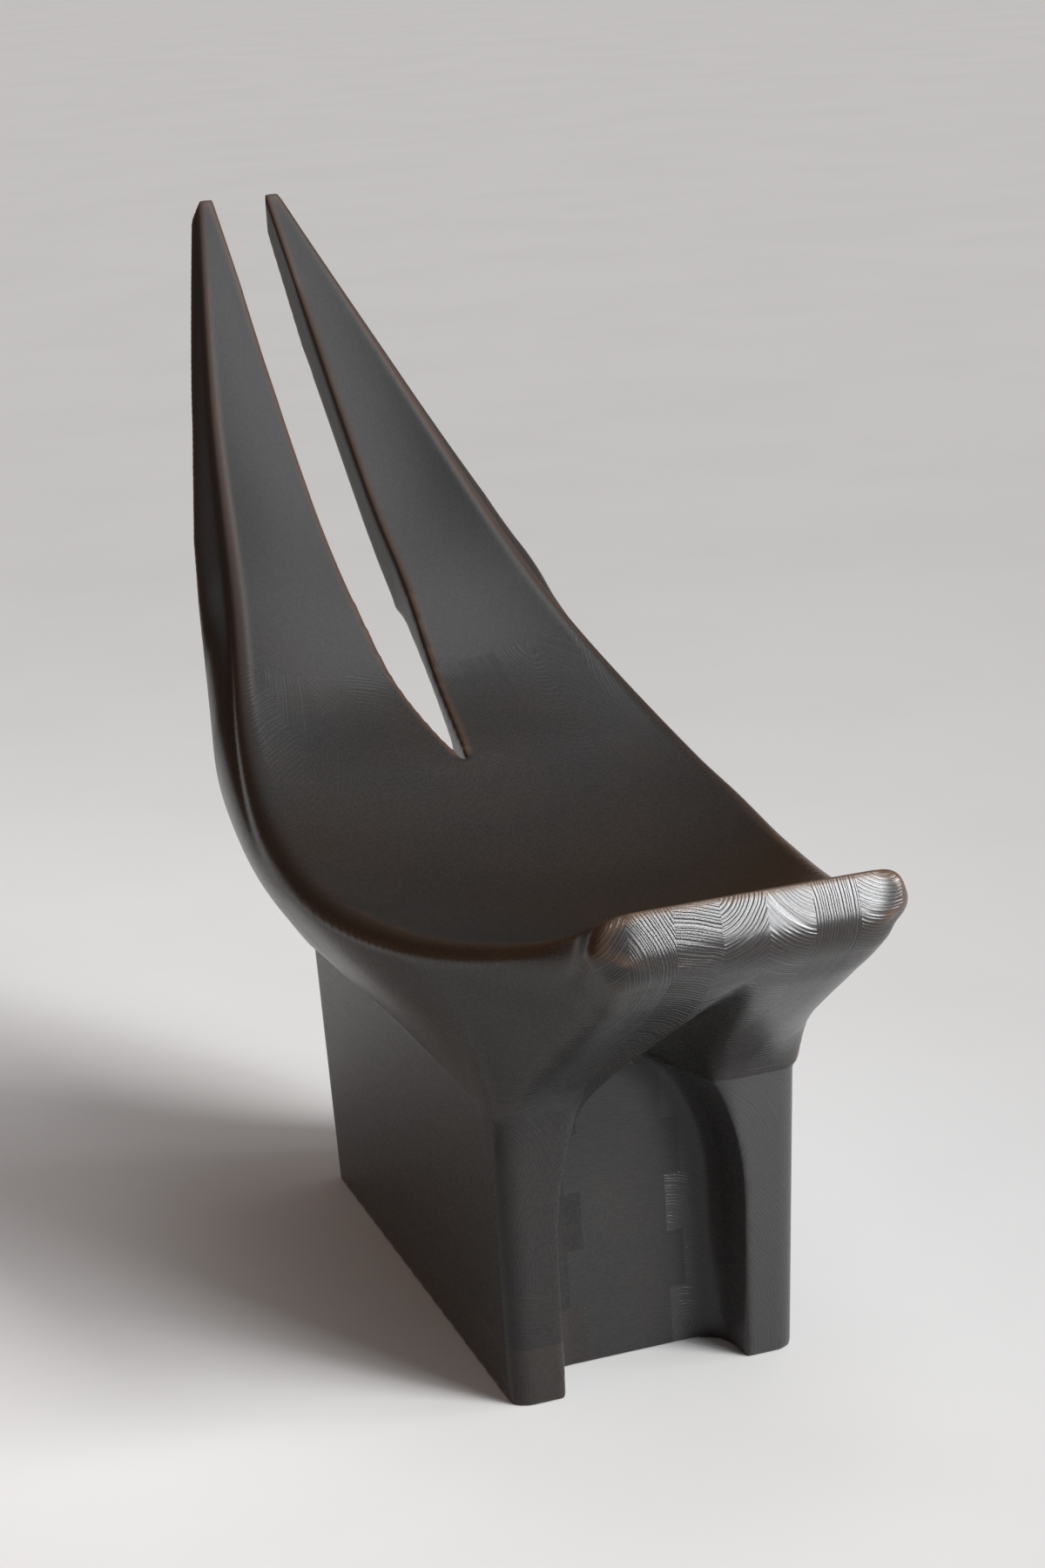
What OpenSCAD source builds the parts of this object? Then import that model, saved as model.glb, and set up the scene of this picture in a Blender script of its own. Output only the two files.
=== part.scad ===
/* [Seat] */
// Width of the seat across its rims, at the widest place
seat_w = 474; // [440:2:500]
// How far behind the front of the base the seat is widest
seat_wide_y = 290; // [250:5:330]
// Lowest height of the side rims
rim_low_z = 444; // [436:1:450]
// Height of the side rims where the seat is widest
rim_wide_z = 465; // [458:1:474]
// Lowest height of the hollow of the seat on the centre line
seat_low_z = 418; // [408:1:430]
// How far behind the front of the base the hollow is lowest
seat_low_y = 70; // [40:5:100]
// Rounding of the rims
rim_r = 18; // [14:1:20]

/* [Lip] */
// Width of the bar along the front of the seat
lip_w = 282; // [266:2:294]
// Height of the top of the bar above the floor
lip_z = 535; // [525:1:545]
// Height of the bar's front face
lip_h = 58; // [50:1:66]
// How far the bar stands out in front of the base
lip_reach = 270; // [250:5:290]
// Rounding of the bar's two ends, seen from above
lip_end_r = 36; // [28:1:40]
// How far the bar's face leans back from its foremost line to its top edge
lip_edge_r = 9; // [6:1:12]
// Height of that leaning face
lip_face = 36; // [32:1:40]

/* [Horns] */
// Height of the horn tips above the floor
tip_z = 1000; // [960:5:1040]
// How far the horn tips are behind the front of the base
tip_y = 1045; // [1010:5:1080]
// Width of each horn at its tip
tip_w = 17; // [13:1:22]
// Thickness of each horn at its tip, measured upright
tip_t = 48; // [42:1:54]
// Width of the seat's back where the horns leave the base
root_w = 332; // [320:2:346]
// Width of the slot between the horns at their tips
slot_w = 59; // [50:1:64]
// How far behind the front of the base the slot begins
slot_y = 407; // [395:1:420]
// Height of the seat where the slot begins
slot_z = 489; // [484:1:496]
// Height of the bottom of the slot's cut
slot_floor_z = 460; // [455:1:466]

/* [Base] */
// Width of the base's front at the floor
front_w = 280; // [270:2:300]
// Width of the base's back at the floor
rear_w = 204; // [190:2:212]
// Length of the base at the floor, front to back
base_d = 629; // [600:1:640]
// Lean of the sides, outward as they rise, in degrees
side_lean = 1.5; // [0.5:0.1:2.2]
// Lean of the front, outward as it rises, in degrees
front_lean = 3.4; // [2.4:0.1:4]
// Lean of the back, outward as it rises, in degrees
rear_lean = 1.3; // [0.5:0.1:2]
// Width across the seat's lower edges, which stand out past the base behind
ledge_w = 260; // [250:2:266]
// Rounding of the base's upright corners
corner_r = 20; // [12:1:26]

/* [Niche] */
// Width of the arched niche at its mouth
niche_w = 184; // [170:2:196]
// Depth of the niche at the floor
niche_d = 63; // [50:1:75]
// Height of the niche's crown at its back wall
niche_z = 298; // [290:1:306]
// Rounding between the niche's back wall and its sides
niche_r = 30; // [20:1:36]
// How far the groove above the niche runs out under the lip
groove_reach = 228; // [210:2:236]

/* [Boards] */
// Thickness of each layer of the base
layer_t = 56; // [54:0.5:58]
// Thickness of each upright board of the seat
board_t = 41; // [39:0.5:43]
// How far the joint nearest the middle of the seat is to its right
board_shift = 8.5; // [6:0.5:11]
// Half width of the middle board in the odd layers of the base
joint_odd = 42; // [36:1:48]
// Half width of the middle board in the even layers of the base
joint_even = 58; // [52:1:64]
// How far behind the front of the base the horns are joined on
horn_joint_y = 560; // [540:5:580]
// Thickness of the loose tenons
tenon_t = 10; // [8:0.5:12]
// Width of the loose tenons
tenon_w = 40; // [34:1:46]
// Length of the loose tenons
tenon_l = 60; // [50:2:70]
// Clearance all round a tenon in its mortise
fit = 0.2; // [0.1:0.05:0.4]

/* [Hidden] */
LAYERS = 5;
BOARDS = 12;

black = [0.13, 0.13, 0.14];
brown = [0.20, 0.16, 0.14];
pale = [0.72, 0.60, 0.44];

// Places derived from the sizes. y runs back from the front of the base, and the whole is centred last
joint_z = LAYERS * layer_t;
top_lean_x = joint_z * tan(side_lean);
top_front_y = -joint_z * tan(front_lean);
top_rear_y = base_d + joint_z * tan(rear_lean);
shift_y = (lip_reach - tip_y) / 2;
wide = 2000;
thin = 0.1;

// A smooth curve through rows of [y, value, slope]
function row_at(rows, y, i = 0) = i >= len(rows) - 2 || y < rows[i + 1][0] ? i : row_at(rows, y, i + 1);
function blend(a, b, t, d) =
    a[1] * (1 + 2 * t) * (1 - t) * (1 - t) + a[2] * d * t * (1 - t) * (1 - t)
    + b[1] * t * t * (3 - 2 * t) - b[2] * d * t * t * (1 - t);
function curve(rows, y) =
    let (i = row_at(rows, y), a = rows[i], b = rows[i + 1], d = b[0] - a[0])
    blend(a, b, min(1, max(0, (y - a[0]) / d)), d);

// Straight lines through rows of [y, value]
function line(rows, y) =
    let (i = row_at(rows, y), a = rows[i], b = rows[i + 1])
    a[1] + (b[1] - a[1]) * min(1, max(0, (y - a[0]) / (b[0] - a[0])));

// How far a rounded edge that runs in by rx and back by ry stands away at the depth d
function edge(rx, ry, d) = d >= ry ? 0 : rx * (1 - sqrt(1 - pow(1 - d / ry, 2)));

// Half width of the seat and horns
lip_side_y = -lip_reach + lip_end_r * 0.65;
rim_rows = [
    [lip_side_y, lip_w / 2, -0.1],
    [lip_side_y + 43, lip_w / 2 - 2, 0.2],
    [-100, lip_w / 2 + 29, 0.28],
    [seat_wide_y, seat_w / 2, 0],
    [500, root_w / 2 + 41, -0.26],
    [top_rear_y, root_w / 2, -0.28],
    [850, root_w / 2 - 57, -0.3],
    [tip_y, slot_w / 2 + tip_w, -0.33]];
function half_w(y) =
    curve(rim_rows, max(y, lip_side_y)) - edge(lip_end_r, lip_end_r * 0.65, y + lip_reach);

// Height of the rims, and of the centre line or the horns' inner edges
rim_z_rows = [
    [-lip_reach + lip_edge_r, lip_z - 1, -0.42],
    [-150, lip_z - 49, -0.3],
    [145, rim_low_z, 0],
    [seat_wide_y + 10, rim_wide_z, 0.2],
    [500, rim_wide_z + 76, 0.55],
    [top_rear_y, rim_wide_z + 169, 0.78],
    [850, 814, 0.92],
    [tip_y, tip_z, 0.98]];
middle_z_rows = [
    [-lip_reach + lip_edge_r, lip_z - 1, -0.4],
    [-100, lip_z - 79, -0.42],
    [seat_low_y, seat_low_z, 0],
    [slot_y, slot_z, 0.4],
    [540, slot_z + 53, 0.5],
    [top_rear_y, slot_z + 122, 0.76],
    [760, 708, 0.95],
    [tip_y, tip_z, 1]];
function lip_drop(y) = lip_face * pow(max(0, 1 - (y + lip_reach) / lip_edge_r), 1.25);
function rim_z(y) = curve(rim_z_rows, y) - lip_drop(y);
function middle_z(y) = curve(middle_z_rows, y) - lip_drop(y);

// Rounding of the rims: full at the bar's ends, softest where the seat is widest, crisp on the horns
rim_r_rows = [[-lip_reach, lip_end_r * 0.6], [-200, rim_r * 0.6], [-80, rim_r], [150, rim_r * 1.1],
    [350, rim_r * 1.5], [top_rear_y, rim_r], [tip_y, rim_r * 0.25]];

// Underside of the front overhang, from the lip's lower edge back to the legs
under_rows = [
    [-lip_reach, lip_z - lip_h, -0.5],
    [-212, lip_z - 105, -0.76],
    [top_front_y - 30, joint_z + 31, -0.78],
    [top_front_y, joint_z, -1.3]];
under_w_rows = [
    [lip_side_y, lip_w / 2 - 11],
    [lip_side_y + 45, lip_w / 2 - 12],
    [-100, lip_w / 2 - 8],
    [top_front_y, front_w / 2 + top_lean_x]];
under_r_rows = [[-lip_reach, 20], [-200, 40], [top_front_y - 43, 40], [top_front_y, corner_r]];
function under_r(y) = y < top_front_y ? line(under_r_rows, y) : edge(corner_r, corner_r, y - top_front_y) + 0.5;

// Half width of the base at the height where the seat meets it, and of the seat's lower edge
function base_half(y) =
    line([[top_front_y, front_w / 2], [top_rear_y, rear_w / 2]], y) + top_lean_x;
ledge_rows = [[0, 0], [180, ledge_w / 2], [560, ledge_w / 2], [top_rear_y, rear_w / 2 + top_lean_x]];

// The flank is a curve from under the rim to the seat's lower edge, led by two corners.
// Each row is [y, upper corner outward, upper corner down, lower corner outward, lower corner up]
flank_rows = [
    [-lip_reach, 8, 14, 14, 3],
    [-200, 5, 26, 12, 8],
    [-100, -8, 32, 3, 26],
    [0, -14, 36, 4, 56],
    [100, -13, 38, 17, 57],
    [200, -8, 36, 30, 54],
    [300, 5, 42, 48, 57],
    [400, 27, 50, 60, 62],
    [500, 46, 58, 63, 77],
    [600, 66, 54, 66, 95],
    [top_rear_y, 64, 50, 58, 92],
    [tip_y, 64, 50, 58, 92]];
mix_y = 575;
mix_run = 170;
function flank(y, k) = line([for (row = flank_rows) [row[0], row[k]]], y);

// Depth of the horns' outer edges, front to back, and the horns' backs
horn_depth = [[600, 90], [700, 78], [850, 50], [tip_y, 29]];
back_in = [[top_rear_y, root_w / 2 - base_half(top_rear_y)], [700, 40], [850, 16], [tip_y, tip_w / 2]];
back_drop = [[top_rear_y, 350], [top_rear_y + 22, 232], [700, 112], [850, 66], [tip_y, tip_t * 0.9]];
horn_out = [[600, 4], [750, 11], [850, 6], [tip_y, 0]];
inner_drop = [[top_rear_y, 42], [700, 52], [850, 70], [950, 77], [tip_y, tip_t * 1.25]];

function end_x(y) =
    y < top_front_y ? line(under_w_rows, max(y, lip_side_y)) - edge(lip_end_r, lip_end_r * 0.65, y + lip_reach) :
    y <= top_rear_y ? max(base_half(y), line(ledge_rows, y)) : half_w(y) - line(back_in, y);
function end_z(y) =
    y < top_front_y ? curve(under_rows, y) + edge(lip_h * 0.25, lip_end_r * 0.6, y + lip_reach) :
    y <= top_rear_y ? joint_z : rim_z(y) - line(back_drop, y);
function inner_z(y) = y > top_rear_y ? middle_z(y) - line(inner_drop, y) : end_z(y) - (y < top_front_y ? 0.5 : 0);

function bend(a, b, c, d, t) =
    a * pow(1 - t, 3) + 3 * b * t * pow(1 - t, 2) + 3 * c * t * t * (1 - t) + d * pow(t, 3);

// The two corners that lead the flank, as [x, z]: on the horns both are where the outer edge turns to the back
function leads(y, w, z, bx, bz) =
    let (yb = max(0, y - line(horn_depth, y)),
        horn = [half_w(yb) + line(horn_out, y), rim_z(yb)] * 4 / 3 - ([w, z] + [bx, bz]) / 6,
        upper = [w + flank(y, 1), z + 0.5 * line(rim_r_rows, y) - flank(y, 2)],
        lower = [bx + flank(y, 3), bz + flank(y, 4)],
        t = min(1, max(0, (y - mix_y) / mix_run)),
        k = t * t * (3 - 2 * t))
    [upper * (1 - k) + horn * k, lower * (1 - k) + horn * k];

// Right half of one cross section, as [x, z] points from the centre line outward and back below
TOP = 9;
SIDE = 8;
UNDER = 4;
function half_section(y) =
    let (w = half_w(y), zr = rim_z(y), zc = middle_z(y), bx = end_x(y), bz = end_z(y), iz = inner_z(y),
        r = min(line(rim_r_rows, y), (zr - bz) * 0.5), xr = w - r,
        rx = under_r(y), rz = min(rx * 0.75, (zr - bz) * 0.3),
        lead = leads(y, w, zr - r, bx, bz + rz))
    concat(
        [for (i = [0 : TOP]) let (t = i / TOP) [xr * t, zc + (zr - zc) * pow(t, 2.5)]],
        [for (a = [30, 60]) [xr + r * sin(a), zr - r * (1 - cos(a))]],
        [for (i = [0 : SIDE]) let (t = i / SIDE)
            [bend(w, lead[0][0], lead[1][0], bx, t), bend(zr - r, lead[0][1], lead[1][1], bz + rz, t)]],
        [for (a = [30, 60, 90]) [bx - rx * (1 - cos(a)), bz + rz * (1 - sin(a))]],
        [for (i = [1 : UNDER]) let (t = i / UNDER) [(bx - rx) * (1 - t), bz + (iz - bz) * t]]);
function section(y) =
    let (half = half_section(y))
    concat(half, [for (i = [len(half) - 2 : -1 : 1]) [-half[i][0], half[i][1]]]);

function steps(a, b, n) = [for (i = [0 : n - 1]) a + (b - a) * i / n];
stations = concat(
    [-lip_reach],
    [for (a = [25, 50, 75, 90]) -lip_reach + lip_edge_r * (1 - cos(a))],
    steps(-lip_reach + lip_edge_r * 1.6, lip_side_y, 3),
    steps(lip_side_y, top_front_y - 43, 10),
    steps(top_front_y - 43, top_front_y - 1, 4),
    [top_front_y - 1],
    [for (a = [0, 30, 60, 90]) top_front_y + corner_r * (1 - cos(a))],
    steps(top_front_y + corner_r * 2, top_rear_y, 16),
    [top_rear_y, top_rear_y + 1, top_rear_y + 11],
    steps(top_rear_y + 22, tip_y, 13),
    [tip_y]);

// A closed solid through sections that all have the same number of points
module loft(sections, ys) {
    n = len(sections[0]);
    m = len(sections);
    polyhedron(
        points = [for (k = [0 : m - 1], p = sections[k]) [p[0], ys[k], p[1]]],
        faces = concat(
            [[for (i = [0 : n - 1]) i]],
            [[for (i = [n - 1 : -1 : 0]) (m - 1) * n + i]],
            [for (k = [0 : m - 2], i = [0 : n - 1]) let (j = (i + 1) % n)
                each [[k * n + i, (k + 1) * n + i, k * n + j],
                    [k * n + j, (k + 1) * n + i, (k + 1) * n + j]]]));
}

module body() loft([for (y = stations) section(y)], stations);

// Front niche: an arch that narrows towards its back wall. Each slice is [y, half width, spring, crown]
niche_rows = [
    [-60, niche_w / 2 + 4, niche_z / 2, niche_z + 42],
    [-16, niche_w / 2 - 1, niche_z / 2, niche_z + 27],
    [niche_d - niche_r, niche_w / 2 - 4, niche_z * 0.55, niche_z + 6],
    [niche_d - niche_r * 0.3, niche_w / 2 - niche_r * 0.4, niche_z * 0.56, niche_z],
    [niche_d, niche_w / 2 - niche_r, niche_z * 0.56, niche_z - niche_r * 0.4]];
module niche_slice(row)
    translate([0, row[0], -1]) rotate([90, 0, 0]) linear_extrude(thin) {
        translate([-row[1], 0]) square([2 * row[1], row[2] + 1]);
        translate([0, row[2] + 1]) scale([1, (row[3] - row[2]) / row[1]]) circle(row[1], $fn = 40);
    }
module niche()
    for (i = [0 : len(niche_rows) - 2])
        hull() {
            niche_slice(niche_rows[i]);
            niche_slice(niche_rows[i + 1]);
        }

// Tapering groove that runs from the niche's crown out under the lip
module groove() {
    n = 5;
    for (i = [0 : n - 1])
        hull()
            for (t = [i / n, (i + 1) / n])
                let (y = -20 - (groove_reach - 20) * t, r = 54 * (1 - t) + 5)
                translate([0, y, curve(under_rows, min(y, top_front_y)) - r * 0.45])
                    sphere(r, $fn = 28);
}

// Scoop behind the seat, where the slot runs out: spheres as [y, z, radius]
scoop_rows = [[515, 463, 36], [655, 482, 84], [700, 492, 100], [665, 425, 92], [800, 435, 96]];
module scoop()
    hull()
        for (row = scoop_rows) translate([0, row[0], row[1]]) sphere(row[2], $fn = 36);

// The slot between the horns, seen from above
slot_run = 280;
function slot_half(y) = slot_w / 2 * (1 - pow(1 - min(1, (y - slot_y) / slot_run), 1.5));
slot_ys = concat([for (i = [0 : 10]) slot_y + slot_run * pow(i / 10, 1.4)], [tip_y + 50]);
module slot()
    translate([0, 0, slot_floor_z]) linear_extrude(wide)
        polygon(concat(
            [for (y = slot_ys) [slot_half(y), y]],
            [for (i = [len(slot_ys) - 1 : -1 : 1]) [-slot_half(slot_ys[i]), slot_ys[i]]]));

// Loose tenons, standing across the joints between the base and seat, and the seat and horns
base_tenon_at = [for (x = [-1, 1], y = [0.2, 0.72]) [x * (front_w * 0.26 + rear_w * 0.08), base_d * y]];
module base_tenon_row(gap)
    for (at = base_tenon_at)
        translate([at[0], at[1], joint_z])
            cube([tenon_t + 2 * gap, tenon_w + 2 * gap, tenon_l + 2 * gap], center = true);
horn_tenon_x = [for (k = [-2.5, -1.5, 1.5, 2.5]) board_shift + k * board_t];
module horn_tenon_row(gap)
    for (x = horn_tenon_x)
        translate([x, horn_joint_y, (middle_z(horn_joint_y) + rim_z(horn_joint_y)) / 2 - 30])
            rotate([30, 0, 0])
                cube([tenon_w * 0.6 + 2 * gap, tenon_l + 2 * gap, tenon_t + 2 * gap], center = true);

// The seat and horns as carved, before they are divided into boards
module carved()
    difference() {
        body();
        niche();
        groove();
        scoop();
        slot();
        base_tenon_row(fit);
        horn_tenon_row(fit);
    }

// Where the seat boards are glued, left to right, with open ends outside the first and last
seat_joints = concat([-wide], [for (i = [1 : BOARDS - 1]) board_shift + (i - BOARDS / 2) * board_t], [wide]);
module seat_board(i)
    color(i % 2 == 0 ? black : brown)
        intersection() {
            carved();
            translate([seat_joints[i - 1], -lip_reach - 1, 0])
                cube([seat_joints[i] - seat_joints[i - 1], horn_joint_y + lip_reach + 1, wide]);
        }

module horn(side)
    color(black)
        intersection() {
            carved();
            translate([side == "left" ? -wide : 0, horn_joint_y, 0]) cube([wide, wide, wide]);
        }

// The base as one tapering block, then its layers
module outline(front, rear, y0, y1)
    hull() {
        for (x = [-1, 1]) {
            translate([x * (front / 2 - corner_r), y0 + corner_r]) circle(corner_r, $fn = 40);
            translate([x * (rear / 2 - corner_r), y1 - corner_r]) circle(corner_r, $fn = 40);
        }
    }
module base_block()
    hull() {
        linear_extrude(thin) outline(front_w, rear_w, 0, base_d);
        translate([0, 0, joint_z - thin]) linear_extrude(thin)
            outline(front_w + 2 * top_lean_x, rear_w + 2 * top_lean_x, top_front_y, top_rear_y);
    }

module base_board(n, part)
    let (half = n % 2 == 1 ? joint_odd : joint_even)
    color(n % 2 == 1 ? black : brown)
        difference() {
            intersection() {
                base_block();
                translate([part == "left" ? -wide - half : part == "middle" ? -half : half, -wide / 2,
                    (n - 1) * layer_t])
                    cube([part == "middle" ? 2 * half : wide, wide, layer_t]);
            }
            niche();
            base_tenon_row(fit);
        }

module horn_tenons() color(pale) horn_tenon_row(0);
module base_tenons() color(pale) base_tenon_row(0);

translate([0, shift_y, 0]) {
    for (i = [1 : BOARDS])
        seat_board(i);
    for (side = ["left", "right"])
        horn(side);
    for (n = [1 : LAYERS], part = ["left", "middle", "right"])
        base_board(n, part);
    horn_tenons();
    base_tenons();
}
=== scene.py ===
import bpy, bmesh, math
import numpy as np
from mathutils import Matrix, Vector


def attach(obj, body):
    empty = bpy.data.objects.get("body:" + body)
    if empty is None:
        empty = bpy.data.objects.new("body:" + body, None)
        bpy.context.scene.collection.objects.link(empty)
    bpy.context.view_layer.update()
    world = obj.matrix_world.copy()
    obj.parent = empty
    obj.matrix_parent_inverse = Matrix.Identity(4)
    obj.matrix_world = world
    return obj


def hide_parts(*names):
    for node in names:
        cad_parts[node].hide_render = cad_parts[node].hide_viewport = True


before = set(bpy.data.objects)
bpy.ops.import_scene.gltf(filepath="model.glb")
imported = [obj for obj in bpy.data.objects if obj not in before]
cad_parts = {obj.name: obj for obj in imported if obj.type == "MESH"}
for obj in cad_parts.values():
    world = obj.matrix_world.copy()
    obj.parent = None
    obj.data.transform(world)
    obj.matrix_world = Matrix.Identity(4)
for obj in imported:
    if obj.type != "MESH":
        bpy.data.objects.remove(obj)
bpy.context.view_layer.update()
scene = bpy.context.scene
mm = 0.001
print("frame loaded:", len(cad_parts), "solids")

# Camera, as the photo was taken. Angles in degrees, lengths in metres, lens and sensor in millimetres
cameraView = {
    "place": (-1.104, -3.0975, 1.363), "pitch": 15.2, "roll": -3.6, "azimuth": -20.4,
    "lens": 80.0, "sensor": 36, "clip": (0.05, 200),
}


def addCamera(look):
    a, e, tilt = (math.radians(look[k]) for k in ("azimuth", "pitch", "roll"))
    back = Vector((math.sin(a) * math.cos(e), -math.cos(a) * math.cos(e), math.sin(e)))
    level = Vector((math.cos(a), math.sin(a), 0))
    upright = back.cross(level)
    right = math.cos(tilt) * level + math.sin(tilt) * upright
    up = -math.sin(tilt) * level + math.cos(tilt) * upright
    data = bpy.data.cameras.new("photoCamera")
    data.lens, data.sensor_width = look["lens"], look["sensor"]
    data.clip_start, data.clip_end = look["clip"]
    camera = addObject("photoCamera", data)
    turn = Matrix((right, up, back)).transposed().to_4x4()
    camera.matrix_world = Matrix.Translation(look["place"]) @ turn
    scene.camera = camera


def addObject(name, data):
    made = bpy.data.objects.new(name, data)
    scene.collection.objects.link(made)
    return made


addCamera(cameraView)
scene.view_settings.view_transform = "Standard"

# Sizes of the chair in millimetres. y runs back from the front of the base, and solidThrough centres it
seat = {
    "width": 474, "widestY": 290, "rimLow": 444, "rimWide": 465,
    "hollowZ": 418, "hollowY": 70, "rimRound": 18,
}
lip = {
    "width": 282, "top": 535, "height": 58, "reach": 270,
    "endRound": 36, "edgeRound": 9, "face": 36,
}
horn = {
    "tipZ": 1000, "tipY": 1045, "tipWidth": 17, "tipThick": 48, "rootWidth": 332,
    "slotWidth": 59, "slotY": 407, "slotZ": 489, "slotFloor": 460, "slotTop": 1200, "slotRun": 280,
}
base = {
    "front": 280, "rear": 204, "depth": 629, "sideLean": 1.5, "frontLean": 3.4, "rearLean": 1.3,
    "ledge": 260, "corner": 20, "layer": 56, "layers": 5, "overlap": 6,
}
joints = {"board": 41, "shift": 8.5, "hornY": 560, "odd": 42, "even": 58}

jointZ = base["layers"] * base["layer"]
leanX = jointZ * math.tan(math.radians(base["sideLean"]))
frontY = -jointZ * math.tan(math.radians(base["frontLean"]))
rearY = base["depth"] + jointZ * math.tan(math.radians(base["rearLean"]))
lipEndDepth = lip["endRound"] * 0.65
lipSideY = -lip["reach"] + lipEndDepth
shiftY = (lip["reach"] - horn["tipY"]) / 2


# A smooth curve through rows of y, value and slope
def curve(rows, y):
    i = 0
    while i < len(rows) - 2 and y >= rows[i + 1][0]:
        i += 1
    (y0, a, sa), (y1, b, sb) = rows[i], rows[i + 1]
    d = y1 - y0
    t = min(1, max(0, (y - y0) / d))
    return (a * (1 + 2 * t) * (1 - t) ** 2 + sa * d * t * (1 - t) ** 2
            + b * t * t * (3 - 2 * t) - sb * d * t * t * (1 - t))


# Straight lines through rows of y and value
def line(rows, y):
    return float(np.interp(y, [r[0] for r in rows], [r[1] for r in rows]))


# How far a rounded edge of radii rx and ry stands in, at distance d from its end
def edge(rx, ry, d):
    return 0 if d >= ry else rx * (1 - math.sqrt(max(0, 1 - (1 - max(0, d) / ry) ** 2)))


def ramp(value, low, high):
    t = np.clip((value - low) / (high - low), 0, 1)
    return t * t * (3 - 2 * t)


def rounds(a, b, n):
    return list(np.linspace(a, b, n))


# Rim: half the width, then the height at the rim and in the middle of the seat
rimRows = [
    (lipSideY, lip["width"] / 2, -0.1), (lipSideY + 43, lip["width"] / 2 - 2, 0.2),
    (-100, lip["width"] / 2 + 29, 0.28), (seat["widestY"], seat["width"] / 2, 0),
    (500, horn["rootWidth"] / 2 + 41, -0.26), (rearY, horn["rootWidth"] / 2, -0.28),
    (850, horn["rootWidth"] / 2 - 57, -0.3),
    (horn["tipY"], horn["slotWidth"] / 2 + horn["tipWidth"], -0.33)]
rimZRows = [
    (-lip["reach"] + lip["edgeRound"], lip["top"] - 1, -0.42), (-150, lip["top"] - 49, -0.3),
    (145, seat["rimLow"], 0), (seat["widestY"] + 10, seat["rimWide"], 0.2),
    (500, seat["rimWide"] + 76, 0.55), (rearY, seat["rimWide"] + 169, 0.78),
    (850, 814, 0.92), (horn["tipY"], horn["tipZ"], 0.98)]
middleZRows = [
    (-lip["reach"] + lip["edgeRound"], lip["top"] - 1, -0.4), (-100, lip["top"] - 79, -0.42),
    (seat["hollowY"], seat["hollowZ"], 0), (horn["slotY"], horn["slotZ"], 0.4),
    (540, horn["slotZ"] + 53, 0.5), (rearY, horn["slotZ"] + 122, 0.76),
    (760, 708, 0.95), (horn["tipY"], horn["tipZ"], 1)]
rimRoundRows = [
    (-lip["reach"], lip["endRound"] * 0.6), (-200, seat["rimRound"] * 0.6), (-80, seat["rimRound"]),
    (150, seat["rimRound"] * 1.1), (350, seat["rimRound"] * 1.5), (rearY, seat["rimRound"]),
    (horn["tipY"], seat["rimRound"] * 0.25)]
# Underside in front of the base: height, half width and rounding
underRows = [
    (-lip["reach"], lip["top"] - lip["height"], -0.5), (-212, lip["top"] - 105, -0.76),
    (frontY - 30, jointZ + 31, -0.78), (frontY, jointZ, -1.3)]
underWidthRows = [
    (lipSideY, lip["width"] / 2 - 11), (lipSideY + 45, lip["width"] / 2 - 12),
    (-100, lip["width"] / 2 - 8), (frontY, base["front"] / 2 + leanX)]
underRoundRows = [(-lip["reach"], 20), (-200, 40), (frontY - 43, 40), (frontY, base["corner"])]
ledgeRows = [
    (0, 0), (180, base["ledge"] / 2), (560, base["ledge"] / 2), (rearY, base["rear"] / 2 + leanX)]
# Flank curve: y, upper corner outward and down, lower corner outward and up
flankRows = np.array([
    (-lip["reach"], 8, 14, 14, 3), (-200, 5, 26, 12, 8), (-100, -8, 32, 3, 26), (0, -14, 36, 4, 56),
    (100, -13, 38, 17, 57), (200, -8, 36, 30, 54), (300, 5, 42, 48, 57), (400, 27, 50, 60, 62),
    (500, 46, 58, 63, 77), (600, 66, 54, 66, 95), (rearY, 64, 50, 58, 92),
    (horn["tipY"], 64, 50, 58, 92)])
flankBlend = np.linspace(-45, 45, 9)  # millimetres over which neighbouring rows are blended
flankToHorn = (575, 745)  # where the flank turns into the round outside of the horns
hornDepth = [(600, 90), (700, 78), (850, 50), (horn["tipY"], 29)]
hornOut = [(600, 4), (750, 11), (850, 6), (horn["tipY"], 0)]
innerDrop = [(rearY, 42), (700, 52), (850, 70), (950, 77), (horn["tipY"], horn["tipThick"] * 1.25)]


def lipEnd(y):
    return edge(lip["endRound"], lipEndDepth, y + lip["reach"])


def lipDrop(y):
    return lip["face"] * max(0, 1 - (y + lip["reach"]) / lip["edgeRound"]) ** 1.25


def halfWidth(y):
    return curve(rimRows, max(y, lipSideY)) - lipEnd(y)


def rimZ(y):
    return curve(rimZRows, y) - lipDrop(y)


def middleZ(y):
    return curve(middleZRows, y) - lipDrop(y)


def baseHalf(y):
    return line([(frontY, base["front"] / 2), (rearY, base["rear"] / 2)], y) + leanX


backIn = [
    (rearY, horn["rootWidth"] / 2 - baseHalf(rearY)), (700, 40), (850, 16),
    (horn["tipY"], horn["tipWidth"] / 2)]
backDrop = [
    (rearY, 350), (rearY + 22, 232), (700, 112), (850, 66), (horn["tipY"], horn["tipThick"] * 0.9)]


def lowerX(y):
    if y < frontY:
        return line(underWidthRows, max(y, lipSideY)) - lipEnd(y)
    return max(baseHalf(y), line(ledgeRows, y)) if y <= rearY else halfWidth(y) - line(backIn, y)


def lowerZ(y):
    if y < frontY:
        lift = edge(lip["height"] * 0.25, lip["endRound"] * 0.6, y + lip["reach"])
        return curve(underRows, y) + lift
    return jointZ if y <= rearY else rimZ(y) - line(backDrop, y)


facets = {"top": 40, "corner": 9, "side": 44, "under": 10}
dishPower = 2.5


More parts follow.
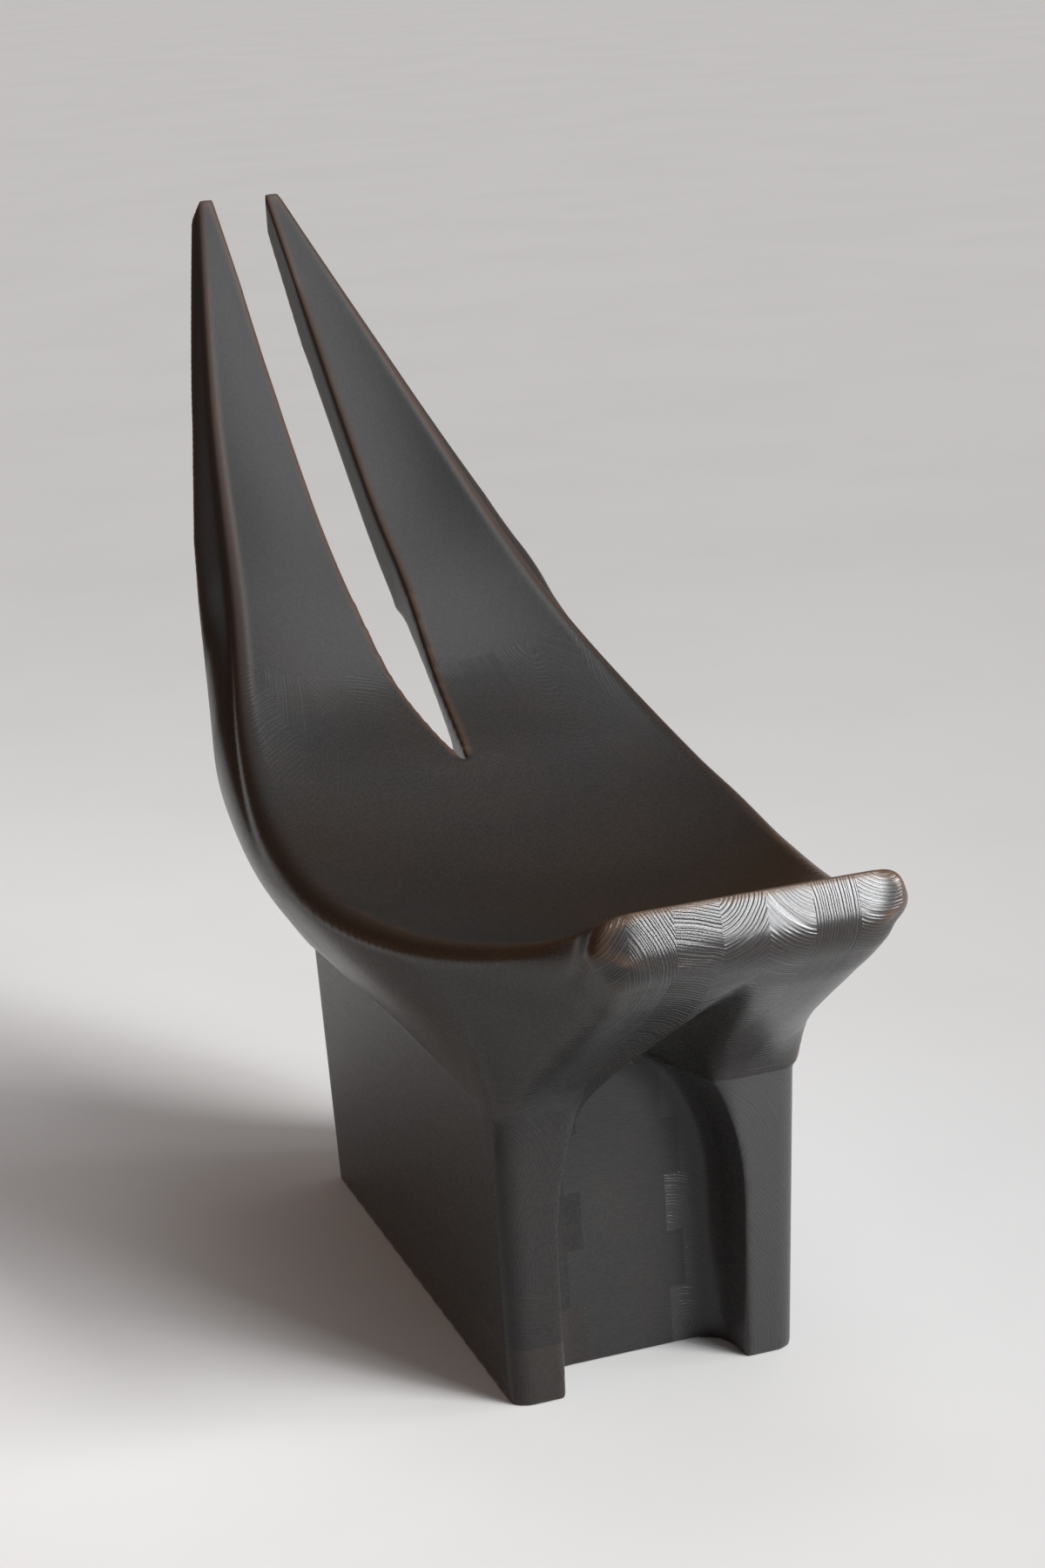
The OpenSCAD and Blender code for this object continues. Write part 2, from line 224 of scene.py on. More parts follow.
# One upright cross-section of seat or horns, as x and z
def carvedSection(y):
    w, zr, zc = halfWidth(y), rimZ(y), middleZ(y)
    inFront = y < frontY
    rx = line(underRoundRows, y) if inFront else edge(base["corner"], base["corner"], y - frontY) + 0.5
    bx, bz = lowerX(y), lowerZ(y)
    r, rz = min(line(rimRoundRows, y), (zr - bz) * 0.5), min(rx * 0.75, (zr - bz) * 0.3)
    iz = middleZ(y) - line(innerDrop, y) if y > rearY else bz - (0.5 if inFront else 0)
    yb = max(0, y - line(hornDepth, y))
    z0, z3 = zr - r, bz + rz
    outside = np.array([halfWidth(yb) + line(hornOut, y), rimZ(yb)])
    turn = outside * 4 / 3 - np.array([w + bx, z0 + z3]) / 6
    f = [float(np.mean(np.interp(y + flankBlend, flankRows[:, 0], flankRows[:, k]))) for k in range(1, 5)]
    k = float(ramp(y, *flankToHorn))
    upper = np.array([w + f[0], z0 + 0.5 * r - f[1]]) * (1 - k) + turn * k
    lower = np.array([bx + f[2], z3 + f[3]]) * (1 - k) + turn * k
    points = []
    for t in np.linspace(0, 1, facets["top"] + 1):
        points.append(((w - r) * t, zc + (zr - zc) * t ** dishPower))
    for a in np.linspace(0, math.pi / 2, facets["corner"])[1:-1]:
        points.append((w - r + r * math.sin(a), zr - r * (1 - math.cos(a))))
    for t in np.linspace(0, 1, facets["side"] + 1):
        p = ((1 - t) ** 3 * np.array([w, z0]) + 3 * t * (1 - t) ** 2 * upper
             + 3 * t * t * (1 - t) * lower + t ** 3 * np.array([bx, z3]))
        points.append(tuple(p))
    for a in np.linspace(0, math.pi / 2, facets["corner"])[1:]:
        points.append((bx - rx * (1 - math.cos(a)), z3 - rz * math.sin(a)))
    for t in np.linspace(0, 1, facets["under"] + 1)[1:]:
        points.append(((bx - rx) * (1 - t), bz + (iz - bz) * t))
    half = np.array(points)
    return np.vstack([half, (half * (-1, 1))[-2:0:-1]])


def solidThrough(name, rings):
    n, m = len(rings[0]), len(rings)
    points = np.vstack(rings) * mm
    points[:, 1] += shiftY * mm
    i = np.arange(n)
    j = (i + 1) % n
    quads = [
        np.stack([k * n + i, (k + 1) * n + i, (k + 1) * n + j, k * n + j], 1) for k in range(m - 1)]
    faces = np.vstack(quads).tolist() + [i.tolist(), ((m - 1) * n + i[::-1]).tolist()]
    mesh = bpy.data.meshes.new(name)
    mesh.from_pydata(points.tolist(), [], faces)
    turnOutward(mesh)
    return addObject(name, mesh)


def turnOutward(mesh):
    shape = bmesh.new()
    shape.from_mesh(mesh)
    if shape.calc_volume(signed=True) < 0:
        bmesh.ops.reverse_faces(shape, faces=shape.faces)
        shape.to_mesh(mesh)
    shape.free()


def withModifier(obj, kind, **values):
    step = obj.modifiers.new(kind, kind)
    for key, value in values.items():
        setattr(step, key, value)
    graph = bpy.context.evaluated_depsgraph_get()
    mesh = bpy.data.meshes.new_from_object(obj.evaluated_get(graph))
    obj.modifiers.clear()
    old, obj.data = obj.data, mesh
    bpy.data.meshes.remove(old)


def joinSolid(obj, tool, how):
    withModifier(obj, "BOOLEAN", object=tool, operation=how, solver="MANIFOLD")
    bpy.data.objects.remove(tool)
    return obj


def flatRing(xz, y):
    return np.stack([xz[:, 0], np.full(len(xz), y), xz[:, 1]], 1)


# Places along y that crowd together where the carving turns quickly
def roundedStations(start, radius, n):
    return [start + radius * (1 - math.cos(a)) for a in rounds(0, math.pi / 2, n)]


def seatAndHorns():
    ys = roundedStations(-lip["reach"], lipEndDepth, 18)
    ys += roundedStations(-lip["reach"], lip["edgeRound"], 8)
    ys += rounds(lipSideY, frontY - 1, 60)[1:]
    ys += roundedStations(frontY, base["corner"], 9)
    ys += rounds(frontY + base["corner"] + 3, rearY, 110)
    ys += [rearY + step for step in (1, 5, 11, 16, 22)]
    ys += rounds(rearY + 25, horn["tipY"], 90)
    ys = sorted(set(round(y, 3) for y in ys))
    return solidThrough("carving", [flatRing(carvedSection(y), y) for y in ys])


def roundedOutline(front, rear, y0, y1, r, z):
    corners = [
        (rear / 2 - r, y1 - r, 0), (-rear / 2 + r, y1 - r, 90),
        (-front / 2 + r, y0 + r, 180), (front / 2 - r, y0 + r, 270)]
    ring = []
    for cx, cy, a0 in corners:
        for a in rounds(math.radians(a0), math.radians(a0 + 90), 10):
            ring.append((cx + r * math.cos(a), cy + r * math.sin(a), z))
    return np.array(ring[::-1])


def baseBlock():
    rings = []
    for z in rounds(0, jointZ, 30):
        t = z / jointZ
        rings.append(roundedOutline(
            base["front"] + 2 * leanX * t, base["rear"] + 2 * leanX * t, frontY * t,
            base["depth"] + (rearY - base["depth"]) * t, base["corner"], z))
    more = base["overlap"]
    rings.append(roundedOutline(
        base["front"] + 2 * leanX - more, base["rear"] + 2 * leanX - more,
        frontY + more / 2, rearY - more / 2, base["corner"], jointZ + more))
    return solidThrough("baseBlock", rings)


# Arched niche. Flare and crown have a value each for the mouth, the throat and the start of the rounded back
niche = {
    "width": 184, "depth": 63, "top": 298, "round": 30, "mouthY": -60, "throatY": -16,
    "flare": (4, -1, -4), "crown": (42, 27, 6), "spring": (0.5, 0.55), "belowFloor": 8, "backDrop": (3, 18),
}


def nicheCutter():
    r, straight = niche["round"], niche["depth"] - niche["round"]
    stops = (niche["mouthY"], niche["throatY"], straight)
    flare, crowns = list(zip(stops, niche["flare"])), list(zip(stops, niche["crown"]))
    springs = list(zip((niche["mouthY"], straight), niche["spring"]))
    rows = [
        (y, niche["width"] / 2 + line(flare, y), niche["top"] * line(springs, y),
         niche["top"] + line(crowns, y)) for y in rounds(niche["mouthY"], straight, 14)]
    last = rows[-1]
    springRise, crownDrop = niche["backDrop"]
    for a in rounds(0, math.pi / 2, 14)[1:]:
        s = 1 - math.cos(a)
        rows.append((
            straight + r * math.sin(a), last[1] - r * s, last[2] + springRise * s,
            last[3] - crownDrop * s))
    rings = []
    for y, w, spring, crown in rows:
        ring = [(w, -niche["belowFloor"]), (w, spring * 0.5)]
        ring += [
            (w * math.cos(a), spring + (crown - spring) * math.sin(a)) for a in rounds(0, math.pi, 49)]
        ring += [(-w, spring * 0.5), (-w, -niche["belowFloor"])]
        rings.append(flatRing(np.array(ring)[::-1], y))
    return solidThrough("nicheCutter", rings)


# The shape stretched round some balls, each x, y, z and radius
def hullOfBalls(name, balls):
    shape = bmesh.new()
    for x, y, z, r in balls:
        place = Matrix.Translation(Vector((x, y + shiftY, z)) * mm)
        bmesh.ops.create_icosphere(shape, subdivisions=5, radius=r * mm, matrix=place)
    points = [v.co.copy() for v in shape.verts]
    shape.clear()
    for point in points:
        shape.verts.new(point)
    bmesh.ops.convex_hull(shape, input=shape.verts)
    bmesh.ops.delete(shape, geom=[v for v in shape.verts if not v.link_faces], context="VERTS")
    mesh = bpy.data.meshes.new(name)
    shape.to_mesh(mesh)
    shape.free()
    turnOutward(mesh)
    return addObject(name, mesh)


# Groove that runs forward from the niche's crown, under the front bar
groove = {"startY": 20, "reach": 228, "round": 54, "endRound": 5, "sink": 0.45, "parts": 8}


def grooveCutter():
    whole, parts = None, groove["parts"]
    for i in range(parts):
        balls = []
        for t in (i / parts, (i + 1) / parts):
            y = -groove["startY"] - (groove["reach"] - groove["startY"]) * t
            r = groove["round"] * (1 - t) + groove["endRound"]
            balls.append((0, y, curve(underRows, min(y, frontY)) - r * groove["sink"], r))
        part = hullOfBalls("grooveCutter", balls)
        whole = part if whole is None else joinSolid(whole, part, "UNION")
    return whole


# Scoop behind the slot's lower end, as balls of y, z and radius
scoopBalls = [(515, 463, 36), (655, 482, 84), (700, 492, 100), (665, 425, 92), (800, 435, 96)]


def scoopCutter():
    return hullOfBalls("scoopCutter", [(0, y, z, r) for y, z, r in scoopBalls])


def slotHalf(y):
    along = np.clip((y - horn["slotY"]) / horn["slotRun"], 0, 1)
    return horn["slotWidth"] / 2 * (1 - (1 - along) ** 1.5)


def slotCutter():
    ys = [horn["slotY"] + horn["slotRun"] * (i / 40) ** 1.6 for i in range(41)] + [horn["tipY"] + 50]
    half = [slotHalf(y) for y in ys]
    ring = np.array(list(zip(half, ys)) + [(-w, y) for w, y in zip(half[:0:-1], ys[:0:-1])])
    levels = (horn["slotFloor"], horn["slotTop"])
    return solidThrough("slotCutter", [np.column_stack([ring, np.full(len(ring), z)]) for z in levels])


# Softness in millimetres: cell of the mesh, rounding of all edges, of the groove and of the edge wear with
# its painted sheen
carving = {"cell": 2.3, "quickCell": 1.8, "soften": 5, "softenGroove": 15, "softenWearAndSheen": 8}
# Where edges are softer than the rest, as ranges in millimetres over which the softening fades
softPlaces = {
    "grooveY": (20, 60), "grooveFromZ": (235, 275), "grooveToZ": (430, 470),
    "grooveRightX": (95, 135), "grooveLeftX": (185, 215),
    "lipEndX": (98, 128), "lipEndY": (-240, -205), "lipEndZ": (452, 472), "lipEndShare": 0.22,
    "slotX": (3, 12), "slotFromY": (horn["slotY"] + 15, horn["slotY"] + 60), "slotToY": (900, 960),
    "slotShare": 0.24, "floorZ": (0.5, 4), "floorShare": 0.35,
}


def softness(x, y, z):
    at = softPlaces
    soft = (1 - ramp(y, *at["grooveY"])) * ramp(z, *at["grooveFromZ"]) * (1 - ramp(z, *at["grooveToZ"]))
    soft = soft * (1 - ramp(x, *at["grooveRightX"])) * (1 - ramp(-x, *at["grooveLeftX"]))
    lipEnds = ramp(np.abs(x), *at["lipEndX"]) * (1 - ramp(y, *at["lipEndY"])) * ramp(z, *at["lipEndZ"])
    slotEdges = (1 - ramp(np.abs(x) - slotHalf(y), *at["slotX"])) * ramp(y, *at["slotFromY"])
    slotEdges = slotEdges * (1 - ramp(y, *at["slotToY"]))
    soft = np.maximum(soft, at["lipEndShare"] * lipEnds)
    return np.maximum(soft, at["slotShare"] * slotEdges)


def neighbourMean(values, a, b, count):
    total = np.empty_like(values)
    for k in range(values.shape[1]):
        total[:, k] = np.bincount(a, values[b, k], len(values)) + np.bincount(b, values[a, k], len(values))
    return total / count[:, None]


def passes(distance, cell):
    return max(6, round(2 * (distance / cell) ** 2))


def smoothCarving(obj, cell):
    mesh = obj.data
    n = len(mesh.vertices)
    points = np.empty(n * 3)
    mesh.vertices.foreach_get("co", points)
    points = points.reshape(-1, 3)
    pairs = np.empty(len(mesh.edges) * 2, dtype=np.int32)
    mesh.edges.foreach_get("vertices", pairs)
    a, b = pairs[0::2], pairs[1::2]
    count = np.bincount(a, minlength=n) + np.bincount(b, minlength=n)
    x, y, z = points.T / mm
    soft = softness(x, y - shiftY, z)
    floorShare = softPlaces["floorShare"]
    floor = floorShare + (1 - floorShare) * ramp(z, *softPlaces["floorZ"])
    for step in range(passes(carving["softenGroove"], cell)):
        weight = soft if step >= passes(carving["soften"], cell) else np.ones(n)
        move = (neighbourMean(points, a, b, count) - points) * (0.5 * weight)[:, None]
        move[:, 2] *= floor
        points += move
    mesh.vertices.foreach_set("co", points.ravel())
    mesh.update()
    normals = np.empty(n * 3)
    mesh.vertex_normals.foreach_get("vector", normals)
    bend = edgeBend(points, normals.reshape(-1, 3), a, b, count, passes(carving["softenWearAndSheen"], cell))
    layer = mesh.attributes.new("carvedNormal", "FLOAT_VECTOR", "POINT")
    layer.data.foreach_set("vector", normals)
    layer = mesh.attributes.new("edgeBend", "FLOAT", "POINT")
    layer.data.foreach_set("value", bend.ravel())
    print("carving smoothed:", n, "points, bend", np.percentile(bend, [1, 50, 90, 99]).round(1))


# How sharply the surface bends at each point, which says where hands wear the stain and where a painted edge
# sheen goes
def edgeBend(points, normals, a, b, count, blur):
    step = points[b] - points[a]
    square = np.maximum((step ** 2).sum(1), 1e-12)
    ahead = np.bincount(a, -(normals[a] * step).sum(1) / square, len(points))
    behind = np.bincount(b, (normals[b] * step).sum(1) / square, len(points))
    bend = ((ahead + behind) * 2 / count)[:, None]
    for _ in range(blur):
        bend = bend * 0.5 + neighbourMean(bend, a, b, count) * 0.5
    return bend


def carveChair():
    whole = seatAndHorns()
    joinSolid(whole, baseBlock(), "UNION")
    print("joined:", len(whole.data.polygons))
    for cutter in (nicheCutter, grooveCutter, scoopCutter, slotCutter):
        joinSolid(whole, cutter(), "DIFFERENCE")
        print("cut by", cutter.__name__, len(whole.data.polygons))
    cell = carving["cell"] * 1
    exact = addObject("exact", whole.data.copy())
    withModifier(whole, "REMESH", mode="VOXEL", voxel_size=cell * mm, adaptivity=0)
    withModifier(whole, "SHRINKWRAP", target=exact, wrap_method="NEAREST_SURFACEPOINT")
    bpy.data.objects.remove(exact)
    smoothCarving(whole, cell)
    return whole


# Cuts along a glue joint and closes both halves
def cutAt(shape, axis, place):
    other = shape.copy()
    normal, point = [0, 0, 0], [0, 0, 0]
    normal[axis], point[axis] = 1, place
    for part, keep in ((shape, "clear_outer"), (other, "clear_inner")):
        everything = part.verts[:] + part.edges[:] + part.faces[:]
        bmesh.ops.bisect_plane(
            part, geom=everything, dist=1e-7, plane_co=point, plane_no=normal, **{keep: True})
        rim = [e for e in part.edges if e.is_boundary]
        made = bmesh.ops.holes_fill(part, edges=rim, sides=0)["faces"]
        mark = part.faces.layers.int["glued"]
        for face in made:
            face[mark] = 1
    return shape, other


def cutRow(shape, axis, places):
    if not places:
        return [shape]
    k = len(places) // 2
    low, high = cutAt(shape, axis, places[k])
    return cutRow(low, axis, places[:k]) + cutRow(high, axis, places[k + 1:])


# Glued faces are shaded flat, carved ones with the whole carving's normals, so no seam shows
def pieceFrom(shape, name, material):
    mesh = bpy.data.meshes.new(name)
    shape.to_mesh(mesh)
    shape.free()
    faceCount, cornerCount = len(mesh.polygons), len(mesh.loops)
    normals = np.empty(len(mesh.vertices) * 3)
    mesh.attributes["carvedNormal"].data.foreach_get("vector", normals)
    normals = normals.reshape(-1, 3)
    normals /= np.maximum(np.linalg.norm(normals, axis=1), 1e-9)[:, None]
    corner = np.empty(cornerCount, dtype=np.int32)
    mesh.loops.foreach_get("vertex_index", corner)
    glued = np.zeros(faceCount, dtype=np.int32)
    mesh.attributes["glued"].data.foreach_get("value", glued)
    counts = np.empty(faceCount, dtype=np.int32)
    mesh.polygons.foreach_get("loop_total", counts)
    flat = np.empty(faceCount * 3)
    mesh.polygons.foreach_get("normal", flat)
    isGlued = np.repeat(glued, counts) == 1
    each = normals[corner]
    each[isGlued] = np.repeat(flat.reshape(-1, 3), counts, axis=0)[isGlued]
    mesh.polygons.foreach_set("use_smooth", [True] * faceCount)
    mesh.normals_split_custom_set(each.tolist())
    mesh.attributes.remove(mesh.attributes["carvedNormal"])
    mesh.materials.append(material)
    return addObject(name, mesh)


def node(tree, kind, inputs=None, **settings):
    made = tree.nodes.new("ShaderNode" + kind)
    for key, value in settings.items():
        setattr(made, key, value)
    for key, value in (inputs or {}).items():
        connect(tree, made.inputs[key], value)
    return made.outputs


def connect(tree, socket, value):
    if isinstance(value, bpy.types.NodeSocket):
        tree.links.new(value, socket)
    else:
        socket.default_value = value


def sums(tree, how, *values):
    return node(tree, "Math", dict(enumerate(values)), operation=how)[0]


def vectors(tree, how, a, b):
    return node(tree, "VectorMath", {0: a, 1: b}, operation=how)["Vector"]


def between(tree, value, low, high, a=0.0, b=1.0):
    inputs = {"Value": value, "From Min": low, "From Max": high, "To Min": a, "To Max": b}
    return node(tree, "MapRange", inputs, interpolation_type="SMOOTHSTEP")["Result"]


def colourMix(tree, amount, a, b):
    made = tree.nodes.new("ShaderNodeMix")
    made.data_type = "RGBA"
    for index, value in ((0, amount), (6, a), (7, b)):
        connect(tree, made.inputs[index], value)
    return made.outputs[2]


def paint(name):
    made = bpy.data.materials.new(name)
    made.use_nodes = True
    made.node_tree.nodes.clear()
    return made, made.node_tree


# Wood alike on all boards. Stretches are along the grain, and scales are Blender's texture scales
wood = {
    "wobbleStretch": 0.12, "wobbleScale": 26.0, "heartTaper": 0.015, "driftScale": 120.0, "driftTurns": 1.3,
    "lateRise": (0.35, 0.78), "lateFall": (0.99, 0.86), "lateGloss": 0.06, "endGrain": (0.25, 0.85),
    "fibreStretch": 0.03, "fibreScale": 900.0, "fibreHeight": 0.05, "fibreRough": 0.14,
    "poreStretch": 0.06, "poreScale": 1400.0, "poreEdge": (0.10, 0.34), "poreHeight": 0.07,
    "poreShow": 0.45, "poreColour": (0.008, 0.007, 0.007, 1),
    "cloudScale": 7.0, "cloudEdge": (0.36, 0.66),
    "speckScale": 420.0, "speckEdge": (0.3, 0.7), "speckShow": 0.10, "speckColour": (0.075, 0.07, 0.065, 1),
    "bump": 0.75, "bumpDepth": 0.0003,
}


# Growth rings round a board's heart. Rings differ in width, so the distance is warped before it is repeated
def growthRings(tree, look, along):
    squeezed = node(tree, "Mapping", {"Vector": along, "Scale": (1, wood["wobbleStretch"], 1)})[0]
    wobble = node(tree, "TexNoise", {
        "Vector": squeezed, "Scale": wood["wobbleScale"], "Detail": 2.0, "Roughness": 0.5})["Color"]
    shaken = vectors(tree, "ADD", along, vectors(tree, "MULTIPLY", wobble, (look["wobble"] * mm,) * 3))
    across = vectors(tree, "MULTIPLY", shaken, (1, wood["heartTaper"], 1))
    reach = node(tree, "VectorMath", {0: across}, operation="LENGTH")["Value"]
    drift = node(tree, "TexNoise", {
        "W": sums(tree, "MULTIPLY", reach, wood["driftScale"]), "Scale": 1.0, "Detail": 1.0},
        noise_dimensions="1D")[0]
    even = sums(tree, "DIVIDE", reach, look["spacing"] * mm)
    phase = sums(tree, "FRACT", sums(tree, "ADD", even, sums(tree, "MULTIPLY", drift, wood["driftTurns"])))
    lateWood = sums(
        tree, "MULTIPLY", between(tree, phase, *wood["lateRise"]), between(tree, phase, *wood["lateFall"]))
    # end grain shows the rings strongly, long grain softly
    normal = node(tree, "NewGeometry")["Normal"]
    facing = node(tree, "VectorMath", {0: normal, 1: look["grain"]}, operation="DOT_PRODUCT")["Value"]
    facing = sums(tree, "ABSOLUTE", facing)
    return sums(tree, "MULTIPLY", lateWood, between(tree, facing, *wood["endGrain"], look["longShow"], 1.0))


def fibreNoise(tree, along):
    stretched = vectors(tree, "MULTIPLY", along, (1, wood["fibreStretch"], 1))
    return node(tree, "TexNoise", {
        "Vector": stretched, "Scale": wood["fibreScale"], "Detail": 3.0, "Roughness": 0.6})[0]


def poreMask(tree, along):
    stretched = vectors(tree, "MULTIPLY", along, (1, wood["poreStretch"], 1))
    cells = node(tree, "TexVoronoi", {"Vector": stretched, "Scale": wood["poreScale"]}, feature="F1")
    return between(tree, cells["Distance"], *wood["poreEdge"])


def stainColour(tree, look, place, paintedSheen, rings, pores):
    cloud = node(tree, "TexNoise", {
        "Vector": place, "Scale": wood["cloudScale"], "Detail": 3.0, "Roughness": 0.55})[0]
    cloud = between(tree, cloud, *wood["cloudEdge"])
    speck = node(tree, "TexNoise", {"Vector": place, "Scale": wood["speckScale"], "Detail": 1.0})[0]
    speck = sums(tree, "MULTIPLY", between(tree, speck, *wood["speckEdge"]), wood["speckShow"])
    pore = sums(tree, "MULTIPLY", sums(tree, "SUBTRACT", 1.0, pores), wood["poreShow"])
    bend = node(tree, "Attribute", attribute_name="edgeBend")["Fac"]
    # worn stain on sharp edges, partly a painted sheen of reflected warm light
    wearAndSheen = sums(tree, "MULTIPLY", between(tree, bend, *look["wearAndSheen"]), look["wearAndSheenShow"])
    stain = colourMix(tree, cloud, look["stain"] + (1,), look["stainWarm"] + (1,))
    # painted sheen: the stain turns greyer up the back, where light from above falls on the horns
    stain = colourMix(tree, paintedSheen, stain, look["paintedSheenStain"] + (1,))
    stain = colourMix(tree, sums(tree, "MULTIPLY", rings, look["ringShow"]), stain, look["ring"] + (1,))
    stain = colourMix(tree, speck, stain, wood["speckColour"])
    stain = colourMix(tree, pore, stain, wood["poreColour"])
    return colourMix(tree, wearAndSheen, stain, look["wornAndSheen"] + (1,))


def stainedWood(name, look):
    material, tree = paint(name)
    place = node(tree, "TexCoord")["Object"]
    cx, cz = look["ringCentre"]
    heart = (cx * mm, (-lip["reach"] + shiftY) * mm, cz * mm)
    # the board's own directions: y runs along the grain
    along = node(tree, "Mapping", {
        "Vector": vectors(tree, "SUBTRACT", place, heart),
        "Rotation": tuple(math.radians(v) for v in look["lean"])})[0]
    rings, fibres, pores = growthRings(tree, look, along), fibreNoise(tree, along), poreMask(tree, along)
    # the stain is painted greyer up the back as a painted sheen of the light from above, and the finish
    # turns more matt, evenly across the joint between seat and horns
    backward = node(tree, "SeparateXYZ", {0: place})["Y"]
    paintedSheen = between(tree, backward, look["paintedSheenY"][0] * mm, look["paintedSheenY"][1] * mm)
    stain = stainColour(tree, look, place, paintedSheen, rings, pores)
    rough = between(tree, paintedSheen, 0.0, 1.0, look["rough"], look["paintedSheenRough"])
    fibreRough = sums(tree, "MULTIPLY", sums(tree, "SUBTRACT", fibres, 0.5), wood["fibreRough"])
    rough = sums(tree, "ADD", rough, fibreRough)
    rough = sums(tree, "SUBTRACT", rough, sums(tree, "MULTIPLY", rings, wood["lateGloss"]))
    height = sums(tree, "MULTIPLY", rings, look["relief"])
    height = sums(tree, "ADD", height, sums(tree, "MULTIPLY", fibres, wood["fibreHeight"]))
    height = sums(tree, "ADD", height, sums(tree, "MULTIPLY", pores, wood["poreHeight"]))
    bump = node(tree, "Bump", {"Height": height, "Strength": wood["bump"], "Distance": wood["bumpDepth"]})
    surface = node(tree, "BsdfPrincipled", {
        "Base Color": stain, "Roughness": rough, "Normal": bump["Normal"], "IOR": 1.5,
        "Specular IOR Level": look["gloss"]})["BSDF"]
    node(tree, "OutputMaterial", {"Surface": surface})
    return material


# Black stain on the seat, worn through at the edges, where a painted edge sheen is laid on too, and painted
# greyer up the back as a painted sheen. Rings and the sheen's rise in millimetres
seatLook = {
    "stain": (0.0100, 0.0096, 0.0096), "stainWarm": (0.0135, 0.0112, 0.0100),
    "ring": (0.026, 0.026, 0.027), "ringShow": 0.8, "longShow": 0.04,
    "wornAndSheen": (0.075, 0.045, 0.030), "wearAndSheen": (12, 55), "wearAndSheenShow": 0.6,
    "rough": 0.28, "gloss": 0.28, "relief": 1.2,
    # up the back the stain is painted greyer, a painted sheen of the light from above
    "paintedSheenY": (60, 470), "paintedSheenStain": (0.0200, 0.0199, 0.0210), "paintedSheenRough": 0.37,
    "spacing": 2.8, "wobble": 5, "grain": (0, 1, 0), "lean": (0, 0, 0),
}
# The horns' grain leans back with them
hornLook = {**seatLook, "grain": (0, 0.69, 0.72), "lean": (-46, 0, 0), "spacing": 3.4}
# The base is one tone: its painted sheen up the back begins behind the chair
baseLook = {
    **seatLook, "stain": (0.0190, 0.0187, 0.0192), "stainWarm": (0.0212, 0.0201, 0.0196),
    "ringShow": 0.3, "longShow": 0.10, "spacing": 3.2, "relief": 0.4,
    "wearAndSheen": (40, 120), "wearAndSheenShow": 0.12, "paintedSheenY": (900, 1000),
}
# Left boards of the base are painted darker as painted shade and the right ones lighter as painted light;
# the middle ones show fewer rings, and the lowest left one is warmer and lighter than the other left ones
baseBoardShadeAndGrain = {
    "left": {
        # painted shade: the left boards are painted darker, as the side turned away from the window
        "stain": (0.0160, 0.0154, 0.0154), "stainWarm": (0.0180, 0.0166, 0.0158), "gloss": 0.18},
    "middle": {"ringShow": 0.10, "relief": 0.12},
    # painted light: the right boards are painted lighter, as the side toward the window
    "right": {"stain": (0.0340, 0.0338, 0.0348), "stainWarm": (0.0370, 0.0360, 0.0360)},
}
lowestLeft = {"stain": (0.0235, 0.0205, 0.0190), "stainWarm": (0.0290, 0.0250, 0.0220)}
# Unstained wood of the hidden tenons
tenonLook = {
    **seatLook, "ringCentre": (0, 700), "stain": (0.50, 0.36, 0.22), "stainWarm": (0.58, 0.43, 0.27),
    "ring": (0.36, 0.24, 0.14), "wornAndSheen": (0.60, 0.45, 0.30),
    "grain": (0, 0, 1), "longShow": 0.6, "rough": 0.6,
}

# Heart of each board as x and z in millimetres at the front bar, left to right, and its ring spacing
boardHearts = [
    (-330, 300), (-120, 330), (-230, 600), (-208, 454), (-113, 295), (-40, 548),
    (72, 562), (-129, 498), (127, 566), (60, 330), (330, 520), (120, 250)]
boardSpacings = [2.9, 2.7, 3.0, 2.6, 2.8, 3.4, 3.2, 2.5, 3.1, 2.8, 2.9, 3.0]
hornHearts = {"left": (-150, 420), "right": (170, 420)}
baseHearts = {
    1: [(-40, 20), (10, -90), (58, 20)], 2: [(-100, 210), (30, 260), (62, 60)],
    3: [(-215, 130), (-20, 20), (40, 95)], 4: [(-30, 160), (5, 330), (50, 250)],
    5: [(-190, 210), (-8, 120), (20, 190)]}


